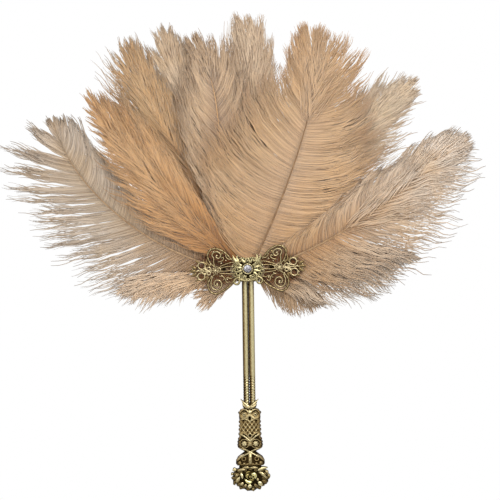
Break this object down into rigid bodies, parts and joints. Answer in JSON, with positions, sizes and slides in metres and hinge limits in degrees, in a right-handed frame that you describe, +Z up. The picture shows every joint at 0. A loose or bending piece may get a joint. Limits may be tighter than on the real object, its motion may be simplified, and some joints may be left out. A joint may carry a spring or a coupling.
{
  "type": "feather fan",
  "caption": "Hand fan of curled feather plumes spread in layers behind a gilt filigree brooch, on a slender pronged metal handle with a cast grip and shell finial.",
  "frame": {"origin": "on the handle's axis at the top of the cast grip, where the hand holds it", "axes": "+Z up along the handle to the plumes, front with the brooch and gem towards -Y, flat felt backing towards +Y, +X to the right of the front view"},
  "size_m": [0.3797, 0.0432, 0.3858],
  "materials": {
    "plume_peach": "soft peach-brown feather",
    "plume_tan": "soft tan feather",
    "plume_grey": "soft greyish-fawn feather",
    "quill": "horny brown feather shaft",
    "antique_brass": "antique brass, dark in its recesses",
    "bright_brass": "brighter worn brass",
    "glue": "set hot glue",
    "felt": "dark brown felt",
    "crystal": "clear cut crystal with a foiled back"
  },
  "bodies": {
    "root": {"plume_01_shaft": "quill", "plume_01_vane": "plume_tan", "plume_02_shaft": "quill", "plume_02_vane": "plume_tan", "plume_03_shaft": "quill", "plume_03_vane": "plume_grey", "plume_04_shaft": "quill", "plume_04_vane": "plume_peach", "plume_05_shaft": "quill", "plume_05_vane": "plume_peach", "plume_06_shaft": "quill", "plume_06_vane": "plume_tan", "plume_07_shaft": "quill", "plume_07_vane": "plume_peach", "plume_08_shaft": "quill", "plume_08_vane": "plume_tan", "plume_09_shaft": "quill", "plume_09_vane": "plume_peach", "plume_10_shaft": "quill", "plume_10_vane": "plume_tan", "plume_11_shaft": "quill", "plume_11_vane": "plume_grey", "plume_12_shaft": "quill", "plume_12_vane": "plume_tan", "plume_13_shaft": "quill", "plume_13_vane": "plume_tan", "glue_core": "glue", "felt_backing": "felt", "front_filigree": "antique_brass", "centre_ornament": "bright_brass", "gem_cup": "bright_brass", "crystal": "crystal", "left_flower": "bright_brass", "right_flower": "bright_brass", "left_prong": "antique_brass", "right_prong": "antique_brass", "leaf_collar": "antique_brass", "grip_casting": "antique_brass", "finial_shell": "antique_brass", "finial_rose": "bright_brass"}
  },
  "joints": []
}
